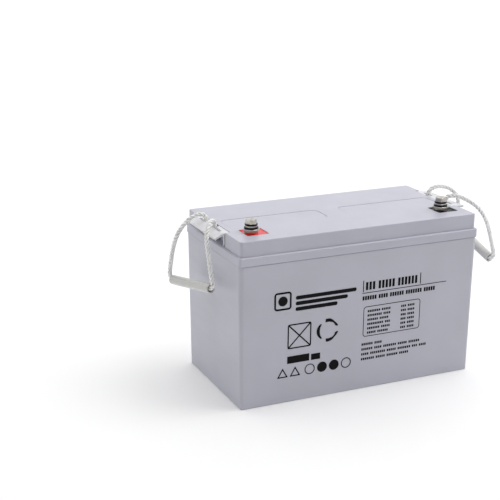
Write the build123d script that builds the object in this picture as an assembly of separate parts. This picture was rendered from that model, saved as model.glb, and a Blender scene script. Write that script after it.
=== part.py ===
from build123d import *
import math
import os

# Deep cycle battery, 12 V, six cells. Millimetres, +Z up, origin at the centre of the base.
# X runs along the long side, -Y is the printed front, and both terminals are near the front.

# ---- case ------------------------------------------------------------------------------
RIM_LENGTH = 330.0
RIM_WIDTH = 172.0
SEAM_Z = 181.4
RIM_TOP_Z = 193.0
LID_TOP_Z = 211.8
CORNER_R = 3.5
BASE_LENGTH = 324.2
BASE_WIDTH = 166.2
SEAM_STEP = 0.5
BASE_EDGE_R = 1.5
TONGUE_LENGTH = 325.2
TONGUE_WIDTH = 167.2
TONGUE_TOP_Z = 190.0
TONGUE_GAP = 0.2
SEAM_GAP = 0.6
BEAD_HEIGHT = 1.5
LID_INSET = 2.6
LID_EDGE_R = 0.9
RIM_CHAMFER = 1.2
LID_SKIN = 3.0

# ---- cells -----------------------------------------------------------------------------
CELLS = 6
PARTITION = 2.0
CELL_FLOOR_Z = 4.0
CELL_WIDTH = 158.8
CELL_BLOCK_LENGTH = 316.8
CELL_R = 2.0
PARTITION_TOP_Z = 188.0
CELL_LENGTH = (CELL_BLOCK_LENGTH - (CELLS - 1) * PARTITION) / CELLS
CELL_PITCH = CELL_LENGTH + PARTITION
CELL_X = [(i - (CELLS - 1) / 2) * CELL_PITCH for i in range(CELLS)]

# ---- plates and straps -----------------------------------------------------------------
POSITIVES = 5
NEGATIVES = 6
POSITIVE_T = 3.6
NEGATIVE_T = 2.6
SEPARATOR_T = 1.6
PLATE_WIDTH = 150.0
PLATE_TOP_Z = 158.0
SEPARATOR_TOP_Z = 161.0
LUG_WIDTH = 14.0
LUG_Y = 47.0
STRAP_BOTTOM_Z = 168.0
STRAP_TOP_Z = 175.0
STRAP_LENGTH = 46.0
STRAP_WIDTH = 18.0
CONNECTOR_R = 3.2

# ---- vents -----------------------------------------------------------------------------
VENT_X = 82.0
VENT_Y = -4.0
VENT_LENGTH = 134.0
VENT_WIDTH = 40.0
VENT_R = 9.0
VENT_GAP = 0.3
VENT_LEDGE = 2.0
VENT_COVER_T = 2.4
VENT_COVER_SINK = 0.2
VENT_FLOOR_Z = 200.6
VENT_FLOOR_T = 3.0
NECK_R = 6.0
NECK_BORE_R = 3.6
NECK_TOP_Z = 205.0
CAP_R = 8.0
CAP_SKIRT = 3.6
CAP_T = 1.6
DISC_R = 5.0

# ---- terminals -------------------------------------------------------------------------
TERMINAL_X = CELL_X[-1]
TERMINAL_Y = -LUG_Y
PAD_SIDE = 28.0
PAD_SHIFT_X = 3.5
PAD_GAP = 0.3
PAD_R = 2.0
PAD_BOTTOM_Z = 207.8
PAD_TOP_Z = 211.0
BOSS_SIDE = 38.0
BOSS_BOTTOM_Z = 197.0
INSERT_R = 8.2
INSERT_STEM_R = 7.0
INSERT_TOP_Z = 215.0
INSERT_SHOULDER_Z = 206.4
INSERT_BOTTOM_Z = 196.0
INSERT_BORE_R = 4.05
INSERT_BORE_DEPTH = 16.6
SEAT_R = 9.8
SEAT_Z = 203.8
RING_R = 8.35
RING_WIRE_R = 1.3
WASHER_BORE_R = 4.3
WASHER_CHAMFER = 0.25
FLAT_WASHER_R = 10.2
FLAT_WASHER_Z = (215.0, 217.0)
MIDDLE_WASHER_R = 8.6
MIDDLE_WASHER_Z = (217.0, 218.8)
SPRING_WASHER_R = 7.3
SPRING_WASHER_Z = (218.8, 221.0)
SPRING_SPLIT = 1.6
TOP_WASHER_R = 7.9
TOP_WASHER_Z = (221.0, 222.8)
HEAD_Z = 222.8
BOLT_R = 4.0
BOLT_LENGTH = 20.0
HEAD_ACROSS_FLATS = 13.0
HEAD_HEIGHT = 5.3
HEAD_CHAMFER = 0.8
THREAD_PITCH = 1.25
THREAD_DEPTH = 0.55
SHANK_PLAIN = 8.2

# ---- end recess, anchor plate, rope and grip -------------------------------------------
RECESS_WALL_X = 156.0
RECESS_Y = 7.0
RECESS_WIDTH = 89.0
RECESS_FLOOR_Z = 194.0
RECESS_R = 1.2
RECESS_SKIN = 3.0
PLATE_END_GAP = 1.0
PLATE_T = 2.4
PLATE_INNER_X = {-1: 156.3, 1: 158.0}
PLATE_CREST_X = 165.0
PLATE_OUTER_X = 176.0
PLATE_INNER_Z = {-1: 211.3, 1: 211.0}
PLATE_CREST_Z = 210.9
PLATE_OUTER_Z = {-1: 205.6, 1: 210.4}
SLOT_X = 163.3
SLOT_WIDTH = 4.0
SLOT_Y = ((-26.0, -2.0), (21.0, 40.0))
NOTCH_R = 3.5
RIB_T = 3.0
RIB_OUTER_X = 162.2
RIB_Y = (-32.0, 12.0, 46.0)
ROPE_R = 3.0
ROPE_X = 161.5
ROPE_Y = {-1: (-2.0, 25.0), 1: (-14.0, 26.0)}
SWING_Z = 216.4
ROPE_GAP = 0.35
KNOT_R = 5.2
KNOT_Z = 199.0
GRIP_R = 6.0
GRIP_BORE_R = 4.2
GRIP_EDGE_R = 0.7
MOUTH_BEND_R = 7.6
MOUTH_CORNER = 5.0
BEND_INSIDE = 2.5
BEND_SHARE = 0.45

# Each grip runs from its near mouth, at the front, to its far mouth.
LEFT_GRIP = ((-180.5, -35.5, 143.5), (-197.5, 50.0, 131.5))
RIGHT_GRIP = ((200.0, -67.0, 144.0), (202.6, 17.4, 165.6))

# Free rope from the swing axis to the grip: near leg and far leg, each point by hand.
LEFT_NEAR = [
    (-161.5, -2.0, 216.4),
    (-166.0, -5.0, 219.2),
    (-172.2, -11.6, 218.8),
    (-177.6, -18.2, 213.8),
    (-181.0, -23.6, 203.4),
    (-181.2, -28.0, 190.0),
    (-180.6, -32.4, 174.0),
    (-180.4, -36.8, 158.0),
]
LEFT_FAR = [
    (-161.5, 25.0, 216.4),
    (-166.6, 26.8, 219.8),
    (-173.4, 29.6, 219.0),
    (-181.4, 33.0, 213.0),
    (-188.8, 36.2, 204.6),
    (-195.4, 39.4, 192.6),
    (-199.4, 43.6, 175.0),
    (-200.4, 49.6, 154.0),
]
RIGHT_NEAR = [
    (161.5, -14.0, 216.4),
    (166.4, -16.6, 219.6),
    (173.4, -21.6, 220.2),
    (182.0, -28.2, 217.0),
    (191.4, -35.6, 211.0),
    (199.4, -44.0, 201.4),
    (202.6, -53.4, 188.0),
    (202.0, -61.6, 175.0),
    (201.4, -68.4, 162.0),
]
RIGHT_FAR = [
    (161.5, 26.0, 216.4),
    (167.0, 26.2, 220.4),
    (176.0, 25.6, 222.2),
    (186.8, 24.8, 220.4),
    (197.2, 23.8, 215.4),
    (205.2, 22.6, 207.6),
    (208.0, 21.4, 196.0),
]


def block(x0, x1, y0, y1, z0, z1):
    """Plain block between two opposite corners."""
    size = (x1 - x0, y1 - y0, z1 - z0)
    centre = ((x0 + x1) / 2, (y0 + y1) / 2, (z0 + z1) / 2)
    return Pos(*centre) * Box(*size)


def slab(length, width, radius, z0, z1, x=0.0, y=0.0):
    """Block with rounded vertical edges, centred on x, y."""
    return Pos(x, y, z0) * extrude(RectangleRounded(length, width, radius), z1 - z0)


def disc(radius, z0, z1, x=0.0, y=0.0):
    """Upright cylinder from z0 to z1."""
    return Pos(x, y, (z0 + z1) / 2) * Cylinder(radius, z1 - z0)


def group(solids):
    """Separate solids kept side by side in one node."""
    return Compound(children=[s.solid() for s in solids])


def side_of_positive(cell):
    """Side, -1 front or +1 back, that carries the positive strap of a cell."""
    return -1 if cell % 2 == 0 else 1


# ---- case ------------------------------------------------------------------------------
def container():
    rise = (RIM_LENGTH - 2 * SEAM_STEP - BASE_LENGTH) / 2
    draft = math.degrees(math.atan2(rise, SEAM_Z))
    body = extrude(RectangleRounded(BASE_LENGTH, BASE_WIDTH, CORNER_R), SEAM_Z, taper=-draft)
    body = fillet(body.faces().sort_by(Axis.Z)[0].edges(), BASE_EDGE_R)
    body += slab(TONGUE_LENGTH, TONGUE_WIDTH, CORNER_R, SEAM_Z, TONGUE_TOP_Z)
    for x in CELL_X:
        body -= slab(CELL_LENGTH, CELL_WIDTH, CELL_R, CELL_FLOOR_Z, TONGUE_TOP_Z, x)
    half = CELL_BLOCK_LENGTH / 2
    reach = CELL_WIDTH / 2 - CELL_R
    body -= block(-half, half, -reach, reach, PARTITION_TOP_Z, TONGUE_TOP_Z)
    for hole in connector_rods():
        body -= hole
    return body


def lid_seal_bead():
    bead_top = TONGUE_TOP_Z + BEAD_HEIGHT
    ring = slab(TONGUE_LENGTH, TONGUE_WIDTH, CORNER_R, TONGUE_TOP_Z, bead_top)
    return ring - slab(CELL_BLOCK_LENGTH + 2, CELL_WIDTH + 2, CELL_R, TONGUE_TOP_Z, bead_top)


def mirrored(shape, side):
    """Shape drawn for the right end, mirrored when the side is -1."""
    return shape if side > 0 else mirror(shape, Plane.YZ)


def recess_core(side):
    """Solid stock in the lid that the end recess is cut from."""
    half = RECESS_WIDTH / 2 + RECESS_SKIN
    stock = block(
        RECESS_WALL_X - RECESS_SKIN, RIM_LENGTH / 2 - LID_INSET - 1, RECESS_Y - half, RECESS_Y + half,
        RECESS_FLOOR_Z - RECESS_SKIN, LID_TOP_Z - 1,
    )
    return mirrored(stock, side)


def recess_cut(side):
    half = RECESS_WIDTH / 2
    cut = block(
        RECESS_WALL_X, RIM_LENGTH / 2 + 5, RECESS_Y - half, RECESS_Y + half, RECESS_FLOOR_Z, LID_TOP_Z + 1,
    )
    inner = [e for e in cut.edges().filter_by(Axis.Z) if abs(e.center().X - RECESS_WALL_X) < 0.1]
    return mirrored(fillet(inner, RECESS_R), side)


def plate_height(side, x):
    """Height of the anchor plate's underside at a distance x from the middle."""
    inner_x, inner_z = PLATE_INNER_X[side], PLATE_INNER_Z[side]
    slope = (PLATE_CREST_Z - inner_z) / (PLATE_CREST_X - inner_x)
    return inner_z - PLATE_T + slope * (x - inner_x)


def plate_rib(side, y):
    """Rib below the anchor plate, which stands on the recess floor."""
    inner, outer = PLATE_INNER_X[side], RIB_OUTER_X
    middle = PLATE_T / 2
    outline = Polyline(
        (inner, RECESS_FLOOR_Z), (outer, RECESS_FLOOR_Z),
        (outer, plate_height(side, outer) + middle), (inner, plate_height(side, inner) + middle), close=True,
    )
    return extrude(Plane.XZ.offset(-y) * make_face(outline), RIB_T / 2, both=True)


def neck_places():
    return [(x, VENT_Y) for x in CELL_X]


def terminal_places():
    return {"positive": (-TERMINAL_X, TERMINAL_Y), "negative": (TERMINAL_X, TERMINAL_Y)}


def lid():
    rim_bottom = SEAM_Z + SEAM_GAP
    rim = slab(RIM_LENGTH, RIM_WIDTH, CORNER_R, rim_bottom, RIM_TOP_Z)
    rim = chamfer(rim.faces().sort_by(Axis.Z)[-1].edges(), RIM_CHAMFER)
    raised = slab(RIM_LENGTH - 2 * LID_INSET, RIM_WIDTH - 2 * LID_INSET, CORNER_R, RIM_TOP_Z - 1, LID_TOP_Z)
    raised = fillet(raised.faces().sort_by(Axis.Z)[-1].edges(), LID_EDGE_R)
    body = rim + raised
    body -= slab(
        TONGUE_LENGTH + 2 * TONGUE_GAP, TONGUE_WIDTH + 2 * TONGUE_GAP, CORNER_R,
        rim_bottom - 1, TONGUE_TOP_Z + BEAD_HEIGHT,
    )
    hollow = slab(CELL_BLOCK_LENGTH, CELL_WIDTH, CELL_R, rim_bottom, LID_TOP_Z - LID_SKIN)
    for side in (-1, 1):
        hollow -= recess_core(side)
        hollow -= slab(
            VENT_LENGTH + 2 * LID_SKIN, VENT_WIDTH + 2 * LID_SKIN, VENT_R + LID_SKIN,
            VENT_FLOOR_Z - VENT_FLOOR_T, LID_TOP_Z, side * VENT_X, VENT_Y,
        )
    for x, y in terminal_places().values():
        half = BOSS_SIDE / 2
        middle = x + PAD_SHIFT_X
        hollow -= block(middle - half, middle + half, y - half, y + half, BOSS_BOTTOM_Z, LID_TOP_Z)
    for i in range(CELLS - 1):
        x = (CELL_X[i] + CELL_X[i + 1]) / 2
        half = PARTITION / 2
        hollow -= block(x - half, x + half, -CELL_WIDTH, CELL_WIDTH, PARTITION_TOP_Z, LID_TOP_Z)
    body -= hollow
    for side in (-1, 1):
        body -= recess_cut(side)
        body = cut_vent(body, side * VENT_X)
    for x, y in neck_places():
        body += disc(NECK_R, VENT_FLOOR_Z - 1, NECK_TOP_Z, x, y)
        body -= disc(NECK_BORE_R, VENT_FLOOR_Z - VENT_FLOOR_T - 1, NECK_TOP_Z, x, y)
    for x, y in terminal_places().values():
        side = PAD_SIDE + 2 * PAD_GAP
        body -= slab(side, side, PAD_R, PAD_BOTTOM_Z, LID_TOP_Z + 1, x + PAD_SHIFT_X, y)
        body -= disc(SEAT_R, SEAT_Z, PAD_BOTTOM_Z, x, y)
        body -= disc(INSERT_STEM_R + PAD_GAP, BOSS_BOTTOM_Z - 1, SEAT_Z, x, y)
    return body


def cut_vent(body, x):
    """Pocket for one vent cover, with the ledge that the cover rests on."""
    ledge_z = LID_TOP_Z - VENT_COVER_SINK - VENT_COVER_T
    body -= slab(VENT_LENGTH, VENT_WIDTH, VENT_R, ledge_z, LID_TOP_Z + 1, x, VENT_Y)
    return body - slab(
        VENT_LENGTH - 2 * VENT_LEDGE, VENT_WIDTH - 2 * VENT_LEDGE, VENT_R - VENT_LEDGE,
        VENT_FLOOR_Z, ledge_z, x, VENT_Y,
    )


# ---- vents -----------------------------------------------------------------------------
def vent_cover(side):
    top = LID_TOP_Z - VENT_COVER_SINK
    plate = slab(
        VENT_LENGTH - 2 * VENT_GAP, VENT_WIDTH - 2 * VENT_GAP, VENT_R - VENT_GAP,
        top - VENT_COVER_T, top, side * VENT_X, VENT_Y,
    )
    return chamfer(plate.faces().sort_by(Axis.Z)[-1].edges(), 0.4)


def valve_caps():
    caps = []
    for x, y in neck_places():
        top = NECK_TOP_Z + CAP_T
        cap = disc(CAP_R, NECK_TOP_Z - CAP_SKIRT, top, x, y)
        cap = fillet(cap.faces().sort_by(Axis.Z)[-1].edges(), 0.8)
        caps.append(cap - disc(NECK_R, NECK_TOP_Z - CAP_SKIRT, NECK_TOP_Z, x, y))
    return group(caps)


def flame_arrestor_discs():
    bottom = NECK_TOP_Z + CAP_T
    top = LID_TOP_Z - VENT_COVER_SINK - VENT_COVER_T
    return group([disc(DISC_R, bottom, top, x, y) for x, y in neck_places()])


# ---- cells -----------------------------------------------------------------------------
def stack_places(cell):
    """Start and end of every layer of one cell: negative, separator, positive and so on."""
    layers = []
    total = POSITIVES * POSITIVE_T + NEGATIVES * NEGATIVE_T + 2 * POSITIVES * SEPARATOR_T
    x = CELL_X[cell] - total / 2
    for i in range(2 * POSITIVES + NEGATIVES + POSITIVES):
        kind = ("negative", "separator", "positive", "separator")[i % 4]
        thick = {"negative": NEGATIVE_T, "separator": SEPARATOR_T, "positive": POSITIVE_T}[kind]
        layers.append((kind, x, x + thick))
        x += thick
    return layers


def plates(kind):
    solids = []
    for cell in range(CELLS):
        side = side_of_positive(cell) * (1 if kind == "positive" else -1)
        y = side * LUG_Y
        for layer, x0, x1 in stack_places(cell):
            if layer == kind:
                grid = block(x0, x1, -PLATE_WIDTH / 2, PLATE_WIDTH / 2, CELL_FLOOR_Z, PLATE_TOP_Z)
                lug = block(x0, x1, y - LUG_WIDTH / 2, y + LUG_WIDTH / 2, PLATE_TOP_Z, STRAP_BOTTOM_Z)
                solids.append(grid + lug)
    return group(solids)


def separators():
    half = CELL_WIDTH / 2 - 1
    solids = []
    for cell in range(CELLS):
        for layer, x0, x1 in stack_places(cell):
            if layer == "separator":
                solids.append(block(x0, x1, -half, half, CELL_FLOOR_Z, SEPARATOR_TOP_Z))
    return group(solids)


def straps(kind):
    solids = []
    for cell in range(CELLS):
        side = side_of_positive(cell) * (1 if kind == "positive" else -1)
        bar = slab(STRAP_LENGTH, STRAP_WIDTH, 3.0, STRAP_BOTTOM_Z, STRAP_TOP_Z, CELL_X[cell], side * LUG_Y)
        solids.append(bar)
    return group(solids)


def connector_rods():
    """One short rod per partition, on the side where the two straps face each other."""
    rods = []
    height = (STRAP_BOTTOM_Z + STRAP_TOP_Z) / 2
    for i in range(CELLS - 1):
        y = -side_of_positive(i) * LUG_Y
        x = (CELL_X[i] + CELL_X[i + 1]) / 2
        length = CELL_PITCH - STRAP_LENGTH
        rods.append(Pos(x, y, height) * Rot(0, 90, 0) * Cylinder(CONNECTOR_R, length))
    return rods


# ---- terminals -------------------------------------------------------------------------
def terminal_post(x, y):
    return disc(INSERT_STEM_R, STRAP_TOP_Z, INSERT_BOTTOM_Z, x, y)


def terminal_insert(x, y):
    body = disc(INSERT_STEM_R, INSERT_BOTTOM_Z, INSERT_SHOULDER_Z, x, y)
    body += disc(INSERT_R, INSERT_SHOULDER_Z, INSERT_TOP_Z, x, y)
    body = chamfer(body.faces().sort_by(Axis.Z)[-1].edges(), 0.5)
    return body - disc(INSERT_BORE_R, INSERT_TOP_Z - INSERT_BORE_DEPTH, INSERT_TOP_Z, x, y)


def terminal_ring(x, y):
    return Pos(x, y, SEAT_Z + RING_WIRE_R) * Torus(RING_R, RING_WIRE_R)


def terminal_pad(x, y):
    pad = slab(PAD_SIDE, PAD_SIDE, PAD_R, PAD_BOTTOM_Z, PAD_TOP_Z, x + PAD_SHIFT_X, y)
    return pad - disc(INSERT_R, PAD_BOTTOM_Z, PAD_TOP_Z, x, y)


def washer(radius, heights, x, y):
    """Plain round washer between two heights, with its outer edges broken."""
    ring = disc(radius, *heights, x, y)
    ring = chamfer(ring.edges().filter_by(GeomType.CIRCLE), WASHER_CHAMFER)
    return ring - disc(WASHER_BORE_R, *heights, x, y)


def spring_washer(x, y):
    bottom, top = SPRING_WASHER_Z
    ring = disc(SPRING_WASHER_R, bottom, top, x, y) - disc(WASHER_BORE_R, bottom, top, x, y)
    split = Box(SPRING_WASHER_R * 2, SPRING_SPLIT, (top - bottom) * 4)
    middle = (bottom + top) / 2
    return ring - Pos(x - SPRING_WASHER_R, y, middle) * Rot(25, 0, 0) * split


def bolt(x, y):
    across_corners = HEAD_ACROSS_FLATS / math.cos(math.radians(30))
    head = extrude(RegularPolygon(across_corners / 2, 6), HEAD_HEIGHT)
    cone = Pos(0, 0, HEAD_HEIGHT / 2) * Cylinder(across_corners / 2, HEAD_HEIGHT)
    cone = chamfer(cone.faces().sort_by(Axis.Z)[-1].edges(), HEAD_CHAMFER, HEAD_CHAMFER * 1.6)
    shank = Pos(0, 0, -BOLT_LENGTH / 2) * Cylinder(BOLT_R, BOLT_LENGTH)
    shank = chamfer(shank.faces().sort_by(Axis.Z)[0].edges(), THREAD_DEPTH)
    grooves = int((BOLT_LENGTH - SHANK_PLAIN) / THREAD_PITCH)
    for i in range(grooves):
        z = -SHANK_PLAIN - i * THREAD_PITCH
        outline = Polyline(
            (BOLT_R + 0.1, z), (BOLT_R - THREAD_DEPTH, z - THREAD_PITCH * 0.4),
            (BOLT_R + 0.1, z - THREAD_PITCH * 0.8), close=True,
        )
        shank -= revolve(Plane.XZ * make_face(outline), Axis.Z)
    return Pos(x, y, HEAD_Z) * ((head & cone) + shank)


# ---- handles ---------------------------------------------------------------------------
def rope_anchor_plate(side):
    inner_x, inner_z, outer_z = PLATE_INNER_X[side], PLATE_INNER_Z[side], PLATE_OUTER_Z[side]
    top = [(inner_x, inner_z), (PLATE_CREST_X, PLATE_CREST_Z), (PLATE_OUTER_X, outer_z)]
    under = [
        (PLATE_OUTER_X - 1.0, outer_z - PLATE_T),
        (PLATE_CREST_X - 0.4, plate_height(side, PLATE_CREST_X - 0.4)),
        (inner_x, inner_z - PLATE_T),
    ]
    face = make_face(Polyline(*top, *under, close=True))
    length = RECESS_WIDTH - 2 * PLATE_END_GAP
    plate = extrude(Plane.XZ.offset(-RECESS_Y) * face, length / 2, both=True)
    lip = [e for e in plate.edges().filter_by(Axis.Y) if e.center().X > PLATE_OUTER_X - 1.5]
    plate = fillet(lip, 0.8)
    for start, end in SLOT_Y:
        plate -= slab(
            SLOT_WIDTH, end - start, 1.0, RECESS_FLOOR_Z, LID_TOP_Z, SLOT_X, (start + end) / 2,
        )
    for y in ROPE_Y[side]:
        plate -= disc(NOTCH_R, RECESS_FLOOR_Z, LID_TOP_Z, ROPE_X, y)
        plate -= block(RECESS_WALL_X, ROPE_X, y - NOTCH_R, y + NOTCH_R, RECESS_FLOOR_Z, LID_TOP_Z)
    for y in RIB_Y:
        plate += plate_rib(side, y)
    return mirrored(plate, side)


def rope_ends(side):
    """The two knotted ends in the recess, with the stretch up through the plate."""
    ends = []
    top = SWING_Z - ROPE_R - ROPE_GAP
    for y in ROPE_Y[side]:
        knot = Pos(side * ROPE_X, y, KNOT_Z) * Sphere(KNOT_R)
        knot -= block(-RIM_LENGTH, RIM_LENGTH, y - 20, y + 20, RECESS_FLOOR_Z - 20, RECESS_FLOOR_Z)
        ends.append(knot + disc(ROPE_R, KNOT_Z, top, side * ROPE_X, y))
    return group(ends)


def grip_axis(mouths):
    near, far = (Vector(*p) for p in mouths)
    return near, far, (far - near).normalized()


def bend_points(mouth, leg_end, inwards):
    """Points that turn the rope from its leg into the grip, in two equal turns, and two further in."""
    towards_leg = (leg_end - mouth + inwards * MOUTH_CORNER).normalized()
    opening = math.radians(towards_leg.get_angle(inwards))
    turn = (math.pi - opening) / 2
    tangent = MOUTH_BEND_R * math.tan(turn / 2)
    offset = tangent / BEND_SHARE / (2 * math.sin(opening / 2))
    corner = mouth - inwards * (offset + tangent - BEND_INSIDE)
    return [
        corner + towards_leg * offset,
        corner + inwards * offset,
        corner + inwards * (offset + 8.0) - Vector(0, 0, 0.35),
        corner + inwards * (offset + 22.0) - Vector(0, 0, 0.75),
    ]


def rope_route(near_leg, far_leg, mouths):
    """Whole free rope: down the near leg, through the grip and up the far leg."""
    near, far, along = grip_axis(mouths)
    start = [Vector(*p) for p in near_leg]
    finish = [Vector(*p) for p in far_leg]
    points = start + bend_points(near, start[-1], along)
    points += [(near + far) * 0.5 - Vector(0, 0, 0.9)]
    points += reversed(bend_points(far, finish[-1], along * -1))
    points += reversed(finish)
    return points


def bend_radii(points):
    radii = []
    for before, here, after in zip(points, points[1:], points[2:]):
        first = here - before
        second = after - here
        half_turn = math.radians(first.get_angle(second)) / 2
        radii.append(BEND_SHARE * min(first.length, second.length) / math.tan(half_turn))
    return radii


def rope(name, near_leg, far_leg, mouths):
    points = rope_route(near_leg, far_leg, mouths)
    radii = bend_radii(points)
    path = FilletPolyline(*points, radius=radii)
    section = Plane(origin=path @ 0, z_dir=path % 0) * Circle(ROPE_R)
    tube = sweep(section, path=path)
    drift = abs(tube.volume / (math.pi * ROPE_R**2 * path.length) - 1)
    print(f"{name}: length {path.length:.1f}, smallest radius {min(radii):.1f}, volume off by {drift:.4f}")
    print("  radii", " ".join(f"{r:.0f}" for r in radii))
    for end in (points[0], points[-1]):
        tube += Pos(end) * Sphere(ROPE_R)
    return tube


def grip(mouths):
    near, far, along = grip_axis(mouths)
    ring = Circle(GRIP_R) - Circle(GRIP_BORE_R)
    tube = extrude(Plane(origin=near, z_dir=along) * ring, (far - near).length)
    return fillet(tube.edges().filter_by(GeomType.CIRCLE), GRIP_EDGE_R)


def build_nodes():
    nodes = {
        "container": container(),
        "lid": lid(),
        "lid_seal_bead": lid_seal_bead(),
        "vent_cover_left": vent_cover(-1),
        "vent_cover_right": vent_cover(1),
        "valve_caps": valve_caps(),
        "flame_arrestor_discs": flame_arrestor_discs(),
        "positive_plates": plates("positive"),
        "negative_plates": plates("negative"),
        "separators": separators(),
        "positive_straps": straps("positive"),
        "negative_straps": straps("negative"),
        "intercell_connectors": group(connector_rods()),
        "rope_anchor_plate_left": rope_anchor_plate(-1),
        "rope_anchor_plate_right": rope_anchor_plate(1),
        "rope_ends_left": rope_ends(-1),
        "rope_ends_right": rope_ends(1),
        "rope_left": rope("rope_left", LEFT_NEAR, LEFT_FAR, LEFT_GRIP),
        "rope_right": rope("rope_right", RIGHT_NEAR, RIGHT_FAR, RIGHT_GRIP),
        "grip_left": grip(LEFT_GRIP),
        "grip_right": grip(RIGHT_GRIP),
    }
    for pole, (x, y) in terminal_places().items():
        nodes[f"{pole}_post"] = terminal_post(x, y)
        nodes[f"{pole}_insert"] = terminal_insert(x, y)
        nodes[f"{pole}_o_ring"] = terminal_ring(x, y)
        nodes[f"{pole}_pad"] = terminal_pad(x, y)
        nodes[f"{pole}_flat_washer"] = washer(FLAT_WASHER_R, FLAT_WASHER_Z, x, y)
        nodes[f"{pole}_middle_washer"] = washer(MIDDLE_WASHER_R, MIDDLE_WASHER_Z, x, y)
        nodes[f"{pole}_spring_washer"] = spring_washer(x, y)
        nodes[f"{pole}_top_washer"] = washer(TOP_WASHER_R, TOP_WASHER_Z, x, y)
        nodes[f"{pole}_bolt"] = bolt(x, y)
    return nodes


os.makedirs("parts", exist_ok=True)
for name, shape in build_nodes().items():
    shape.label = name
    export_step(shape, f"parts/{name}.step")
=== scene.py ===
import math

import bpy
from mathutils import Euler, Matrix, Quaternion, Vector


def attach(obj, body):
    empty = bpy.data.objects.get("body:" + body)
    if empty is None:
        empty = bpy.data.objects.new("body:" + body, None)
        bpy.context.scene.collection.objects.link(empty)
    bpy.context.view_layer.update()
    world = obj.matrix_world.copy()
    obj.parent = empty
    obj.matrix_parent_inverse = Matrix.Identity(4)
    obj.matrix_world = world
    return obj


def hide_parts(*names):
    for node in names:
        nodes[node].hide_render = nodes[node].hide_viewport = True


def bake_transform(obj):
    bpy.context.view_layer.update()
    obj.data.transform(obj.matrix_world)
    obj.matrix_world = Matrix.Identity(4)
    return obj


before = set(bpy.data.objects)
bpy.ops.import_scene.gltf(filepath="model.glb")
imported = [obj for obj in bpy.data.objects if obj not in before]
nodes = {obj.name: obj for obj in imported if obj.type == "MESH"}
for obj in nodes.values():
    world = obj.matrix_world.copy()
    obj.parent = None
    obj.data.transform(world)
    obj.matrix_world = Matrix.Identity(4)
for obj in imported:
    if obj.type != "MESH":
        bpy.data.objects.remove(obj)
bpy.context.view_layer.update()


def deselect_all():
    for item in bpy.context.selected_objects:
        item.select_set(False)


# ---- camera ----------------------------------------------------------------------------
CAMERA_PLACE = (-0.6715, -1.2502, 0.5891)
CAMERA_AZIMUTH = -24.06
CAMERA_ELEVATION = 16.86
CAMERA_ROLL = 0.14
LENS = 82.8
SENSOR = 36.0

camera_data = bpy.data.cameras.new("camera")
camera_data.lens = LENS
camera_data.sensor_width = SENSOR
camera_data.clip_start = 0.05
camera_data.clip_end = 50
camera = bpy.data.objects.new("camera", camera_data)
bpy.context.scene.collection.objects.link(camera)
camera.location = CAMERA_PLACE
aim = Euler((math.radians(90 - CAMERA_ELEVATION), 0, math.radians(CAMERA_AZIMUTH)))
roll = Quaternion((0, 0, 1), math.radians(CAMERA_ROLL))
camera.rotation_mode = "QUATERNION"
camera.rotation_quaternion = aim.to_quaternion() @ roll
bpy.context.scene.camera = camera
bpy.context.scene.view_settings.view_transform = "Standard"


# ---- materials -------------------------------------------------------------------------
def linear(hex_colour):
    """Linear RGBA of an sRGB hex colour."""
    channels = [int(hex_colour[i : i + 2], 16) / 255 for i in (1, 3, 5)]
    curve = [c / 12.92 if c <= 0.04045 else ((c + 0.055) / 1.055) ** 2.4 for c in channels]
    return (*curve, 1.0)


def add_node(tree, kind, settings=None, **inputs):
    """A node with its settings, and its inputs set to values or linked from other nodes."""
    node = tree.nodes.new(kind)
    for name, value in (settings or {}).items():
        setattr(node, name, value)
    for name, value in inputs.items():
        socket = node.inputs[name.replace("_", " ")]
        if isinstance(value, bpy.types.NodeSocket):
            tree.links.new(value, socket)
        else:
            socket.default_value = value
    return node


def start_material(name, **shader):
    """New material with a Principled shader, and the place coordinates of its piece."""
    material = bpy.data.materials.new(name)
    material.use_nodes = True
    tree = material.node_tree
    tree.nodes.clear()
    surface = add_node(tree, "ShaderNodeBsdfPrincipled", **shader)
    add_node(tree, "ShaderNodeOutputMaterial", Surface=surface.outputs[0])
    place = add_node(tree, "ShaderNodeTexCoord")
    return material, tree, surface, place


def range_between(tree, pattern, low, high, least, most):
    """Numbers from least to most over a pattern's range from low to high."""
    share = add_node(tree, "ShaderNodeMapRange", Value=pattern)
    limits = {"From Min": low, "From Max": high, "To Min": least, "To Max": most}
    for name, value in limits.items():
        share.inputs[name].default_value = value
    return share.outputs[0]


def shade_between(tree, pattern, low, high, dark, light):
    """Colours from dark to light over a pattern's range from low to high."""
    share = range_between(tree, pattern, low, high, 0.0, 1.0)
    mix = add_node(tree, "ShaderNodeMix", {"data_type": "RGBA"}, Factor=share)
    mix.inputs[6].default_value = linear(dark)
    mix.inputs[7].default_value = linear(light)
    return mix.outputs[2]


def noise(tree, vector, scale, detail, roughness=0.5):
    """Value of a cloudy noise pattern."""
    pattern = add_node(
        tree, "ShaderNodeTexNoise", Vector=vector, Scale=scale, Detail=detail, Roughness=roughness
    )
    return pattern.outputs[0]


def roughen(tree, surface, height, strength, distance):
    """Bump from a pattern, with a depth in metres."""
    bump = add_node(
        tree, "ShaderNodeBump", Height=height, Strength=strength, Distance=distance
    )
    tree.links.new(bump.outputs[0], surface.inputs["Normal"])


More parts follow.
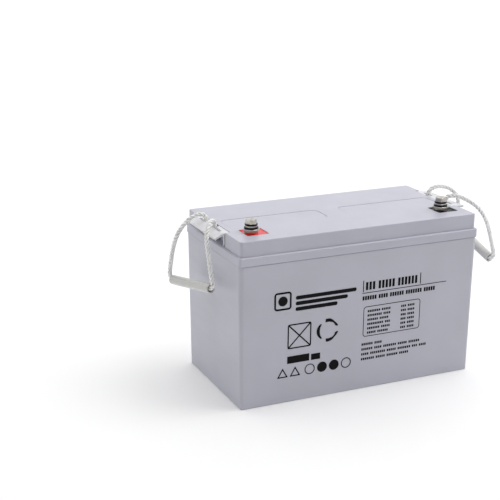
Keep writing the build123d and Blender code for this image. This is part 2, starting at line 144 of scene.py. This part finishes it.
def patterned(name, dark, light, patch_mm, grain_mm, grain_height_mm, rough, **shader):
    """Soft colour patches and a fine grain, as moulded, cast or rolled pieces have."""
    material, tree, surface, place = start_material(name, **shader)
    spot = place.outputs["Object"]
    patches = noise(tree, spot, 1000 / patch_mm, 4.0, 0.6)
    grain = noise(tree, spot, 1000 / grain_mm, 2.0)
    colour = shade_between(tree, patches, 0.3, 0.7, dark, light)
    gloss = range_between(tree, grain, 0.25, 0.75, rough - 0.06, rough + 0.06)
    tree.links.new(colour, surface.inputs["Base Color"])
    tree.links.new(gloss, surface.inputs["Roughness"])
    roughen(tree, surface, grain, 1.0, grain_height_mm / 1000)
    return material


def moulded_abs(name, dark, light):
    """Injection-moulded ABS: fine spark grain makes it satin, with faint rubs from handling."""
    material, tree, surface, place = start_material(name, IOR=1.53)
    spot = place.outputs["Object"]
    cloud = noise(tree, spot, 14.0, 3.0)
    # The real grain is about 0.3 mm. It is drawn at 1.4 mm, so that it shows.
    grain = noise(tree, spot, 700.0, 2.0, 0.6)
    stretch = add_node(
        tree, "ShaderNodeMapping",
        Vector=spot, Scale=(18.0, 18.0, 150.0), Rotation=(0.0, 0.5, 0.3),
    )
    rub = noise(tree, stretch.outputs[0], 1.0, 5.0, 0.65)
    colour = shade_between(tree, cloud, 0.35, 0.65, dark, light)
    gloss = range_between(tree, rub, 0.35, 0.72, 0.44, 0.32)
    tree.links.new(colour, surface.inputs["Base Color"])
    tree.links.new(gloss, surface.inputs["Roughness"])
    roughen(tree, surface, grain, 0.5, 0.00008)
    return material


def nylon_rope():
    """Twisted nylon: fine yarns run across each strand at a slant, with a soft sheen."""
    # White nylon lets light through, which lifts the grooves between the strands.
    material, tree, surface, place = start_material(
        "twisted_nylon", IOR=1.53, Sheen_Weight=0.6, Sheen_Roughness=0.4,
        Subsurface_Weight=0.7, Subsurface_Radius=(1.0, 1.0, 1.0), Subsurface_Scale=0.0008,
    )
    along = add_node(
        tree, "ShaderNodeMapping",
        Vector=place.outputs["UV"], Scale=(YARN_TURNS, YARNS_AROUND, 1.0),
    )
    yarns = add_node(
        tree, "ShaderNodeTexWave", {"wave_type": "BANDS", "bands_direction": "DIAGONAL"},
        Vector=along.outputs[0], Scale=1.0, Distortion=0.6, Detail=2.0,
    ).outputs[1]
    dust = noise(tree, place.outputs["Object"], 60.0, 3.0)
    colour = shade_between(tree, dust, 0.3, 0.7, "#F2F2EF", "#FDFDFC")
    gloss = range_between(tree, yarns, 0.0, 1.0, 0.7, 0.5)
    tree.links.new(colour, surface.inputs["Base Color"])
    tree.links.new(gloss, surface.inputs["Roughness"])
    roughen(tree, surface, yarns, 0.6, 0.0001)
    return material


def worked_steel(name, dark, light, rough, scratch_mm):
    """Metal with fine circular and cross marks left by turning, stamping and spanners."""
    material, tree, surface, place = start_material(name, Metallic=1.0)
    spot = place.outputs["Object"]
    stains = noise(tree, spot, 220.0, 4.0, 0.7)
    lines = add_node(
        tree, "ShaderNodeMapping",
        Vector=spot, Scale=(1.0, 0.08, 1.0), Rotation=(0.0, 0.0, 0.6),
    )
    marks = noise(tree, lines.outputs[0], 1000 / scratch_mm, 3.0, 0.7)
    colour = shade_between(tree, stains, 0.3, 0.7, dark, light)
    gloss = range_between(tree, marks, 0.3, 0.7, rough - 0.08, rough + 0.1)
    tree.links.new(colour, surface.inputs["Base Color"])
    tree.links.new(gloss, surface.inputs["Roughness"])
    roughen(tree, surface, marks, 0.4, 0.00005)
    return material


YARN_TURNS = 260.0
YARNS_AROUND = 7.0

CASE_ABS = moulded_abs("case_abs", "#B9B9C4", "#BDBDC9")
LID_ABS = moulded_abs("lid_abs", "#B8B8C5", "#BDBDCA")
ROPE_NYLON = nylon_rope()
# Polypropylene moulding: waxy, slightly uneven and off-white.
PLATE_POLYPROPYLENE = patterned(
    "plate_polypropylene", "#D6D6DA", "#E2E2E5", 9.0, 1.2, 0.06, 0.45, IOR=1.49
)
# Extruded PVC tube: smooth and glossy, with very faint broad patches.
GRIP_PVC = patterned("grip_pvc", "#CACAC7", "#CECECB", 60.0, 25.0, 0.0, 0.24, IOR=1.53)
# Nylon melted at the cut end: smooth, hard and a little yellowed.
MELTED_NYLON = patterned("melted_nylon", "#DAD8CC", "#E8E6DE", 4.0, 1.5, 0.08, 0.4, IOR=1.53)
# Cast epoxy: deep colour under a smooth skin.
RED_EPOXY = patterned(
    "red_epoxy", "#DC000C", "#F20410", 6.0, 5.0, 0.12, 0.14, Specular_IOR_Level=0.3
)
BLACK_EPOXY = patterned(
    "black_epoxy", "#020202", "#050506", 6.0, 5.0, 0.12, 0.14, Specular_IOR_Level=0.08
)
# Zinc-plated steel: bright and a little stained, with spanner marks.
ZINC_STEEL = worked_steel("zinc_plated_steel", "#8E8983", "#D2CEC8", 0.16, 0.5)
# Near-black steel: painted shade, standing for the dark gaps in the washer stack under the bolt
# head.
SHADE_BLACK_STEEL = worked_steel("steel_painted_shade_black", "#141415", "#28282A", 0.3, 0.5)
# Tinned brass: warm grey, turned.
INSERT_BRASS = worked_steel("tinned_brass", "#B0A896", "#D2CBBB", 0.3, 0.4)
# Cast lead: dull grey with a dark bloom of oxide.
CAST_LEAD = patterned("cast_lead", "#5A5C60", "#7A7C80", 4.0, 1.0, 0.1, 0.55, Metallic=1.0)
# Lead dioxide paste: chocolate brown, powdery.
OXIDE_PASTE = patterned("lead_dioxide_paste", "#2E1A12", "#43281C", 3.0, 0.8, 0.15, 0.85)
# Sponge lead paste: slate grey, powdery.
SPONGE_PASTE = patterned("sponge_lead_paste", "#4A4D52", "#5E6166", 3.0, 0.8, 0.15, 0.8)
# Absorbent glass mat: white felted fibres.
GLASS_MAT = patterned("absorbent_glass_mat", "#DCDCD8", "#F0F0EC", 5.0, 0.6, 0.2, 0.9)
# EPDM rubber: black with a soft bloom.
CAP_RUBBER = patterned("epdm_rubber", "#101010", "#1C1C1C", 4.0, 0.8, 0.05, 0.6, IOR=1.52)
# Sealing epoxy: dark and glossy, with ripples from pouring.
SEAL_EPOXY = patterned("sealing_epoxy", "#2A2A2E", "#3A3A3E", 6.0, 4.0, 0.2, 0.2, IOR=1.55)
# Pressed polyester felt: off-white fibres.
FELT = patterned("polyester_felt", "#CFCFC6", "#E6E6DE", 3.0, 0.5, 0.2, 0.9)
# Screen printing ink: flat black, a little worn.
PRINT_INK = patterned(
    "screen_ink", "#050506", "#0D0D0F", 14.0, 1.5, 0.01, 0.7, Specular_IOR_Level=0.15
)

FINISHED_NODES = [
    (CASE_ABS, ["container"]),
    (LID_ABS, ["lid", "vent_cover_left", "vent_cover_right"]),
    (SEAL_EPOXY, ["lid_seal_bead"]),
    (CAP_RUBBER, ["valve_caps", "positive_o_ring", "negative_o_ring"]),
    (FELT, ["flame_arrestor_discs"]),
    (OXIDE_PASTE, ["positive_plates"]),
    (SPONGE_PASTE, ["negative_plates"]),
    (GLASS_MAT, ["separators"]),
    (
        CAST_LEAD,
        [
            "positive_straps", "negative_straps", "intercell_connectors",
            "positive_post", "negative_post",
        ],
    ),
    (INSERT_BRASS, ["positive_insert", "negative_insert"]),
    (RED_EPOXY, ["positive_pad"]),
    (BLACK_EPOXY, ["negative_pad"]),
    (
        ZINC_STEEL,
        [
            "positive_flat_washer", "negative_flat_washer",
            "positive_spring_washer", "negative_spring_washer",
            "positive_bolt", "negative_bolt",
        ],
    ),
    # Middle and top washers: near-black as painted shade in the gaps under the bolt head.
    (
        SHADE_BLACK_STEEL,
        [
            "positive_middle_washer", "negative_middle_washer",
            "positive_top_washer", "negative_top_washer",
        ],
    ),
    (PLATE_POLYPROPYLENE, ["rope_anchor_plate_left", "rope_anchor_plate_right"]),
    (ROPE_NYLON, ["rope_ends_left", "rope_ends_right", "rope_left", "rope_right"]),
    (GRIP_PVC, ["grip_left", "grip_right"]),
]


def give(piece, material):
    piece.data.materials.clear()
    piece.data.materials.append(material)


for material, node_names in FINISHED_NODES:
    for node_name in node_names:
        give(nodes[node_name], material)


# ---- ropes -----------------------------------------------------------------------------
ROPE_RADIUS = 0.003
STRAND_LAY = 0.0150
STRAND_SHARE = 0.41
MOUTH_BEND = 0.0076
MOUTH_CORNER = 0.005
BEND_INSIDE = 0.0025
BEND_SHARE = 0.45
LINE_STEP = 0.0008

GRIPS = {
    "left": ((-0.1805, -0.0355, 0.1435), (-0.1975, 0.0500, 0.1315)),
    "right": ((0.2000, -0.0670, 0.1440), (0.2026, 0.0174, 0.1656)),
}
NEAR_LEGS = {
    "left": [
        (-0.1615, -0.0020, 0.2010),
        (-0.1615, -0.0018, 0.2080),
        (-0.1615, -0.0020, 0.2164),
        (-0.1660, -0.0050, 0.2192),
        (-0.1722, -0.0116, 0.2188),
        (-0.1776, -0.0182, 0.2138),
        (-0.1810, -0.0236, 0.2034),
        (-0.1812, -0.0280, 0.1900),
        (-0.1806, -0.0324, 0.1740),
        (-0.1804, -0.0368, 0.1580),
    ],
    "right": [
        (0.1615, -0.0140, 0.2010),
        (0.1615, -0.0138, 0.2080),
        (0.1615, -0.0140, 0.2164),
        (0.1664, -0.0166, 0.2196),
        (0.1734, -0.0216, 0.2202),
        (0.1820, -0.0282, 0.2170),
        (0.1914, -0.0356, 0.2110),
        (0.1994, -0.0440, 0.2014),
        (0.2026, -0.0534, 0.1880),
        (0.2020, -0.0616, 0.1750),
        (0.2014, -0.0684, 0.1620),
    ],
}
FAR_LEGS = {
    "left": [
        (-0.1615, 0.0250, 0.2010),
        (-0.1615, 0.0252, 0.2080),
        (-0.1615, 0.0250, 0.2164),
        (-0.1666, 0.0268, 0.2198),
        (-0.1734, 0.0296, 0.2190),
        (-0.1814, 0.0330, 0.2130),
        (-0.1888, 0.0362, 0.2046),
        (-0.1954, 0.0394, 0.1926),
        (-0.1994, 0.0436, 0.1750),
        (-0.2004, 0.0496, 0.1540),
    ],
    "right": [
        (0.1615, 0.0260, 0.2010),
        (0.1615, 0.0262, 0.2080),
        (0.1615, 0.0260, 0.2164),
        (0.1670, 0.0262, 0.2204),
        (0.1760, 0.0256, 0.2222),
        (0.1868, 0.0248, 0.2204),
        (0.1972, 0.0238, 0.2154),
        (0.2052, 0.0226, 0.2076),
        (0.2080, 0.0214, 0.1960),
    ],
}


def bend_points(mouth, leg_end, inwards):
    """Points that turn the rope from its leg into the grip, and two further in."""
    towards_leg = (leg_end - mouth + inwards * MOUTH_CORNER).normalized()
    opening = towards_leg.angle(inwards)
    turn = (math.pi - opening) / 2
    tangent = MOUTH_BEND * math.tan(turn / 2)
    offset = tangent / BEND_SHARE / (2 * math.sin(opening / 2))
    corner = mouth - inwards * (offset + tangent - BEND_INSIDE)
    return [
        corner + towards_leg * offset,
        corner + inwards * offset,
        corner + inwards * (offset + 0.008) - Vector((0, 0, 0.00035)),
        corner + inwards * (offset + 0.022) - Vector((0, 0, 0.00075)),
    ]


def rope_route(side):
    """Control points of one rope: near knot, near leg, grip, far leg and far knot."""
    near, far = (Vector(p) for p in GRIPS[side])
    along = (far - near).normalized()
    start = [Vector(p) for p in NEAR_LEGS[side]]
    finish = [Vector(p) for p in FAR_LEGS[side]]
    middle = (near + far) / 2 - Vector((0, 0, 0.0009))
    ends = bend_points(far, finish[-1], -along)
    return start + bend_points(near, start[-1], along) + [middle] + ends[::-1] + finish[::-1]


def smooth_line(points):
    """Points along the smooth NURBS line that the control points shape."""
    curve = bpy.data.curves.new("rope_line", "CURVE")
    curve.dimensions = "3D"
    curve.resolution_u = 24
    spline = curve.splines.new("NURBS")
    spline.points.add(len(points) - 1)
    for point, place in zip(spline.points, points):
        point.co = (*place, 1.0)
    spline.order_u = 3
    spline.use_endpoint_u = True
    holder = bpy.data.objects.new("rope_line", curve)
    mesh = bpy.data.meshes.new_from_object(holder)
    line = [v.co.copy() for v in mesh.vertices]
    bpy.data.objects.remove(holder)
    bpy.data.meshes.remove(mesh)
    return line


def even_steps(line, step):
    """The line again, as points a step apart."""
    points = [line[0]]
    spare = step
    for before, after in zip(line, line[1:]):
        run = (after - before).length
        while run > 0 and spare <= run:
            points.append(before.lerp(after, spare / run))
            spare += step
        spare -= run
    return points


def twisted_strands(name, line, radius, lay):
    """Three strands laid round a line, as one mesh."""
    strand = radius * STRAND_SHARE
    offset = radius - strand
    curve = bpy.data.curves.new(name, "CURVE")
    curve.dimensions = "3D"
    curve.bevel_depth = strand
    curve.bevel_resolution = 3
    curve.use_fill_caps = True
    splines = [curve.splines.new("POLY") for _ in range(3)]
    for spline in splines:
        spline.points.add(len(line) - 1)
    heading = (line[1] - line[0]).normalized()
    sideways = heading.orthogonal().normalized()
    travelled = 0.0
    for i, place in enumerate(line):
        ahead = (line[min(i + 1, len(line) - 1)] - line[max(i - 1, 0)]).normalized()
        sideways = (heading.rotation_difference(ahead) @ sideways).normalized()
        heading = ahead
        if i:
            travelled += (place - line[i - 1]).length
        for k, spline in enumerate(splines):
            turn = 2 * math.pi * (travelled / lay + k / 3)
            point = place + offset * (Quaternion(heading, turn) @ sideways)
            spline.points[i].co = (*point, 1.0)
    rope = bpy.data.objects.new(name, curve)
    bpy.context.scene.collection.objects.link(rope)
    deselect_all()
    rope.select_set(True)
    bpy.context.view_layer.objects.active = rope
    bpy.ops.object.convert(target="MESH")
    bpy.ops.object.shade_smooth()
    return bpy.context.active_object


for side, sign in (("left", -1), ("right", 1)):
    line = even_steps(smooth_line(rope_route(side)), LINE_STEP)
    rope = twisted_strands(f"twisted_rope_{side}", line, ROPE_RADIUS, STRAND_LAY)
    give(rope, ROPE_NYLON)
    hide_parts(f"rope_{side}")
    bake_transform(rope)


# ---- shared building steps -------------------------------------------------------------
def active_piece(name):
    piece = bpy.context.active_object
    piece.name = name
    return piece


def settle(piece):
    """Put a piece's place, turn and size into its mesh."""
    deselect_all()
    piece.select_set(True)
    bpy.context.view_layer.objects.active = piece
    bpy.ops.object.transform_apply(location=True, rotation=True, scale=True)


def join(pieces, name):
    """One object from several."""
    deselect_all()
    for piece in pieces:
        piece.select_set(True)
    bpy.context.view_layer.objects.active = pieces[0]
    if len(pieces) > 1:
        bpy.ops.object.join()
    return active_piece(name)


def edit(piece):
    deselect_all()
    piece.select_set(True)
    bpy.context.view_layer.objects.active = piece
    bpy.ops.object.mode_set(mode="EDIT")
    bpy.ops.mesh.select_all(action="SELECT")


def finish_edit():
    bpy.ops.object.mode_set(mode="OBJECT")


def finish_piece(piece, material, slot, body, *replaced):
    settle(piece)
    give(piece, material)
    if replaced:
        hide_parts(*replaced)
    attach(piece, body)


# ---- melted rope ends ------------------------------------------------------------------
END_RADIUS = 0.0052
END_HEIGHT = 0.199
RECESS_FLOOR = 0.194


def melted_end(x, y):
    """Rope end melted into a bulb, with a flat foot where it rests on the recess floor."""
    deselect_all()
    bpy.ops.mesh.primitive_uv_sphere_add(
        segments=40, ring_count=24, radius=END_RADIUS, location=(x, y, END_HEIGHT)
    )
    bulb = active_piece("melted_end")
    settle(bulb)
    edit(bulb)
    bpy.ops.mesh.bisect(
        plane_co=(x, y, RECESS_FLOOR), plane_no=(0, 0, 1), use_fill=True, clear_inner=True
    )
    finish_edit()
    deselect_all()
    bulb.select_set(True)
    bpy.ops.object.shade_smooth()
    return bulb


for side in ("left", "right"):
    places = [NEAR_LEGS[side][0][:2], FAR_LEGS[side][0][:2]]
    ends = join([melted_end(x, y) for x, y in places], f"melted_rope_ends_{side}")
    finish_piece(ends, MELTED_NYLON, "rope_nylon", "case", f"rope_ends_{side}")


# ---- terminal pads and spring washers --------------------------------------------------
TERMINAL_X = {"positive": -0.132833, "negative": 0.132833}
TERMINAL_Y = -0.047
PAD_SHIFT = 0.0035
PAD_SIDE = 0.0280
PAD_FOOT = 0.2078
PAD_TOP = 0.2107
INSERT_RADIUS = 0.0082
CORNER_STEPS = 11
COIL_MIDDLE_RADIUS = 0.0058
COIL_WIDTH = 0.0030
COIL_THICKNESS = 0.0016
COIL_FOOT = 0.21975
COIL_RISE = 0.0004
COIL_SWEEP = 344
COIL_STEPS = 96
COIL_GAP_TURN = 200


def square_loop(centre, side, corner, height):
    """Rounded square outline of 48 points at a height."""
    deselect_all()
    bpy.ops.mesh.primitive_plane_add(size=side, location=(*centre, height))
    loop = active_piece("loop")
    settle(loop)
    edit(loop)
    bpy.ops.mesh.bevel(offset=corner, segments=CORNER_STEPS, affect="VERTICES")
    bpy.ops.mesh.delete(type="ONLY_FACE")
    finish_edit()
    return loop


def round_loop(centre, radius, height):
    """Round outline of 48 points at a height."""
    deselect_all()
    bpy.ops.mesh.primitive_circle_add(
        vertices=4 * (CORNER_STEPS + 1), radius=radius,
        location=(*centre, height), rotation=(0, 0, math.pi / 4),
    )
    loop = active_piece("loop")
    settle(loop)
    return loop


def bridged(loops, name):
    """Skin over a row of outlines, each joined to the next."""
    skins = []
    for first, second in zip(loops, loops[1:]):
        copies = []
        for loop in (first, second):
            copy = loop.copy()
            copy.data = loop.data.copy()
            bpy.context.scene.collection.objects.link(copy)
            copies.append(copy)
        skin = join(copies, "skin")
        edit(skin)
        bpy.ops.mesh.bridge_edge_loops()
        finish_edit()
        skins.append(skin)
    for loop in loops:
        bpy.data.objects.remove(loop)
    piece = join(skins, name)
    edit(piece)
    bpy.ops.mesh.remove_doubles(threshold=0.00001)
    bpy.ops.mesh.normals_make_consistent(inside=False)
    finish_edit()
    return piece


def poured_pad(pole):
    """Cast epoxy pad, whose skin climbs a little where it meets the lid and the insert."""
    insert = (TERMINAL_X[pole], TERMINAL_Y)
    centre = (TERMINAL_X[pole] + PAD_SHIFT, TERMINAL_Y)
    loops = [
        round_loop(insert, INSERT_RADIUS, PAD_FOOT),
        square_loop(centre, PAD_SIDE, 0.0020, PAD_FOOT),
        square_loop(centre, PAD_SIDE, 0.0020, PAD_TOP + 0.0006),
        square_loop(centre, PAD_SIDE - 0.0008, 0.0018, PAD_TOP + 0.0003),
        square_loop(centre, PAD_SIDE - 0.0022, 0.0016, PAD_TOP + 0.00008),
        square_loop(centre, PAD_SIDE - 0.0044, 0.0014, PAD_TOP),
        round_loop(insert, INSERT_RADIUS + 0.0010, PAD_TOP),
        round_loop(insert, INSERT_RADIUS + 0.0003, PAD_TOP + 0.0002),
        round_loop(insert, INSERT_RADIUS, PAD_TOP + 0.0005),
        round_loop(insert, INSERT_RADIUS, PAD_FOOT),
    ]
    return bridged(loops, f"poured_{pole}_pad")


def coiled_washer(pole):
    """Split spring washer: one flat turn that rises from end to end."""
    deselect_all()
    axis = (TERMINAL_X[pole], TERMINAL_Y, 0)
    bpy.ops.mesh.primitive_plane_add(
        size=1, location=(axis[0] + COIL_MIDDLE_RADIUS, TERMINAL_Y, COIL_FOOT),
        rotation=(math.pi / 2, 0, 0),
    )
    coil = active_piece(f"coiled_{pole}_washer")
    coil.scale = (COIL_WIDTH, COIL_THICKNESS, 1)
    settle(coil)
    bpy.context.scene.cursor.location = axis
    bpy.ops.object.origin_set(type="ORIGIN_CURSOR")
    bpy.context.scene.cursor.location = (0, 0, 0)
    edit(coil)
    bpy.ops.mesh.delete(type="ONLY_FACE")
    finish_edit()
    turn = coil.modifiers.new("turn", "SCREW")
    turn.angle = math.radians(COIL_SWEEP)
    turn.screw_offset = COIL_RISE
    turn.steps = COIL_STEPS
    turn.render_steps = COIL_STEPS
    turn.use_smooth_shade = False
    bpy.ops.object.modifier_apply(modifier=turn.name)
    edit(coil)
    bpy.ops.mesh.fill_holes(sides=0)
    bpy.ops.mesh.normals_make_consistent(inside=False)
    bpy.ops.transform.rotate(
        value=math.radians(COIL_GAP_TURN), orient_axis="Z", center_override=axis
    )
    finish_edit()
    return coil


POLES = [("positive", RED_EPOXY, "pad_red"), ("negative", BLACK_EPOXY, "pad_black")]
for pole, epoxy, slot in POLES:
    finish_piece(poured_pad(pole), epoxy, slot, "case", f"{pole}_pad")
    washer = coiled_washer(pole)
    finish_piece(washer, ZINC_STEEL, "zinc_steel", f"{pole}_washers", f"{pole}_spring_washer")


# ---- printed marks ---------------------------------------------------------------------
FACE_FOOT = -0.0831
FACE_LEAN = math.atan(2.4 / 181.4)
INK_DEPTH = 0.00014
INK_SINK = 0.00002
WHEEL_STEPS = 10


def flat_shape(corners, centre, radius, turn=0.0):
    """Flat regular shape in millimetres on the drawing plane."""
    deselect_all()
    bpy.ops.mesh.primitive_circle_add(
        vertices=corners, radius=radius / 1000, fill_type="NGON",
        location=(centre[0] / 1000, centre[1] / 1000, 0), rotation=(0, 0, math.radians(turn)),
    )
    shape = active_piece("mark")
    settle(shape)
    return shape


def bar(x0, x1, y0, y1, corner=0.0):
    """Flat bar in millimetres on the drawing plane, with round corners if wanted."""
    deselect_all()
    bpy.ops.mesh.primitive_plane_add(size=0.001, location=((x0 + x1) / 2000, (y0 + y1) / 2000, 0))
    shape = active_piece("mark")
    shape.scale = (x1 - x0, y1 - y0, 1)
    settle(shape)
    if corner:
        edit(shape)
        bpy.ops.mesh.bevel(offset=corner / 1000, segments=6, affect="VERTICES")
        finish_edit()
    return shape


def hollow(shape, line):
    """Keep only a line of the shape's outline, in millimetres."""
    edit(shape)
    bpy.ops.mesh.inset(thickness=line / 1000)
    bpy.ops.mesh.delete(type="FACE")
    finish_edit()
    return shape


def slanted(shape, centre, turn):
    """The shape turned about a centre, in degrees."""
    edit(shape)
    bpy.ops.transform.rotate(
        value=math.radians(turn), orient_axis="Z",
        center_override=(centre[0] / 1000, centre[1] / 1000, 0),
    )
    finish_edit()
    return shape


def stroke_row(x, y, height, width, gap, words):
    """Row of small plain blocks in groups, where a line of small print would stand."""
    blocks = []
    for count in words:
        for _ in range(count):
            blocks.append(bar(x, x + width, y, y + height))
            x += width + gap
        x += width
    return blocks


def wheel_part(centre, radius, line, start, sweep):
    """Part of a ring, as a row of short bars that overlap a little."""
    parts = []
    for i in range(WHEEL_STEPS):
        turn = start + sweep * (i + 0.5) / WHEEL_STEPS
        x = centre[0] + radius * math.cos(math.radians(turn))
        y = centre[1] + radius * math.sin(math.radians(turn))
        half = radius * math.radians(sweep / WHEEL_STEPS) * 0.54
        parts.append(slanted(bar(x - line / 2, x + line / 2, y - half, y + half), (x, y), turn))
    return parts


marks = [
    hollow(bar(-119.5, -96.5, 121.5, 144.5, 4), 2.4),
    flat_shape(48, (-108, 133), 6.2),
    bar(-91, -8, 132.6, 137.4, 2.2),
    bar(-91, -20, 125.4, 130.2, 2.2),
    bar(-91, -34, 118.2, 123.0, 2.2),
    bar(1, 2.2, 129.5, 144.5),
    bar(82.8, 84, 129.5, 144.5),
    bar(0.4, 122, 127.6, 128.5),
    hollow(bar(3, 85, 70, 110, 4), 0.9),
    hollow(bar(-101, -69, 70, 102, 3), 1.7),
    slanted(bar(-106.6, -63.4, 85.2, 86.9), (-85, 86), 45),
    slanted(bar(-106.6, -63.4, 85.2, 86.9), (-85, 86), -45),
    bar(-101, -71, 51, 60.5),
    bar(-68.5, -56, 51, 59),
    hollow(flat_shape(3, (-107, 37.8), 8.4, 0), 1.5),
    hollow(flat_shape(3, (-90, 37.8), 8.4, 0), 1.5),
    hollow(flat_shape(40, (-70, 39.5), 7.0), 1.3),
    flat_shape(40, (-53, 39.5), 6.8),
    flat_shape(40, (-36.5, 39.5), 6.8),
    hollow(flat_shape(40, (-19.5, 39.5), 7.0), 1.3),
]
marks += stroke_row(5, 131.6, 10.4, 3.3, 1.6, (3, 5, 6))
for start in (20, 140, 260):
    marks += wheel_part((-46.5, 87), 13.0, 4.4, start, 84)
marks += stroke_row(1, 118.6, 5.4, 2.5, 0.9, (6, 4, 6, 7, 5))
for i, words in enumerate(((7, 5), (8, 4), (6, 5), (9, 3), (7, 5), (5, 6))):
    marks += stroke_row(9, 102.0 - 5.7 * i, 2.9, 1.9, 0.7, words)
    marks += stroke_row(57, 102.0 - 5.7 * i, 2.9, 1.9, 0.7, (3, 4))
for y, words in (
    (58.4, (6, 4)),
    (51.8, (6, 4, 7, 5, 6)),
    (45.2, (4, 8, 5, 7, 3, 4)),
    (38.6, (7, 5, 6, 5)),
):
    marks += stroke_row(2, y, 3.1, 2.0, 0.75, words)

print_marks = join(marks, "printed_marks")
edit(print_marks)
bpy.ops.mesh.extrude_region_move(TRANSFORM_OT_translate={"value": (0, 0, INK_DEPTH)})
bpy.ops.mesh.select_all(action="SELECT")
bpy.ops.mesh.normals_make_consistent(inside=False)
finish_edit()
print_marks.rotation_euler = (math.pi / 2 + FACE_LEAN, 0, 0)
print_marks.location = (0, FACE_FOOT + INK_SINK, 0)
finish_piece(print_marks, PRINT_INK, "print_ink", "case")


# ---- stage -----------------------------------------------------------------------------
bpy.ops.mesh.primitive_plane_add(size=12, location=(0, 2, 0))
floor = bpy.context.active_object
floor.name = "floor"
give(
    floor,
    patterned(
        "pale_floor", "#FAFAFA", "#FCFCFC", 300.0, 40.0, 0.01, 0.7,
        Emission_Color=(1.0, 1.0, 1.0, 1.0), Emission_Strength=0.06,
    ),
)

world = bpy.data.worlds.new("studio")
world.use_nodes = True
backdrop = world.node_tree.nodes["Background"]
backdrop.inputs["Color"].default_value = (1.0, 1.0, 1.0, 1.0)
backdrop.inputs["Strength"].default_value = 1.06
bpy.context.scene.world = world


def dark_card(name, place, size, turn):
    """Upright dark card that keeps light off one side."""
    deselect_all()
    bpy.ops.mesh.primitive_plane_add(
        size=1, location=place, rotation=(math.pi / 2, 0, math.radians(turn))
    )
    card = active_piece(name)
    card.scale = (*size, 1)
    settle(card)
    give(card, CARD_FELT)


CARD_FELT = patterned("black_felt", "#161616", "#1C1C1C", 30.0, 4.0, 0.01, 0.9)
dark_card("front_card", (0.0, -3.0, 1.3), (7.0, 2.4), 0)
dark_card("left_card", (-3.0, -0.6, 1.3), (4.6, 2.2), 90)


def softbox(name, place, target, size, power):
    """Square area light that faces a target."""
    light = bpy.data.lights.new(name, "AREA")
    light.size = size
    light.energy = power
    holder = bpy.data.objects.new(name, light)
    bpy.context.scene.collection.objects.link(holder)
    holder.location = place
    holder.rotation_euler = (Vector(target) - Vector(place)).to_track_quat("-Z", "Y").to_euler()


softbox("top_softbox", (0.85, -0.35, 1.75), (0, 0, 0.2), 1.1, 9.5)
softbox("left_softbox", (-1.9, -0.5, 0.8), (0, 0, 0.1), 0.5, 0.5)
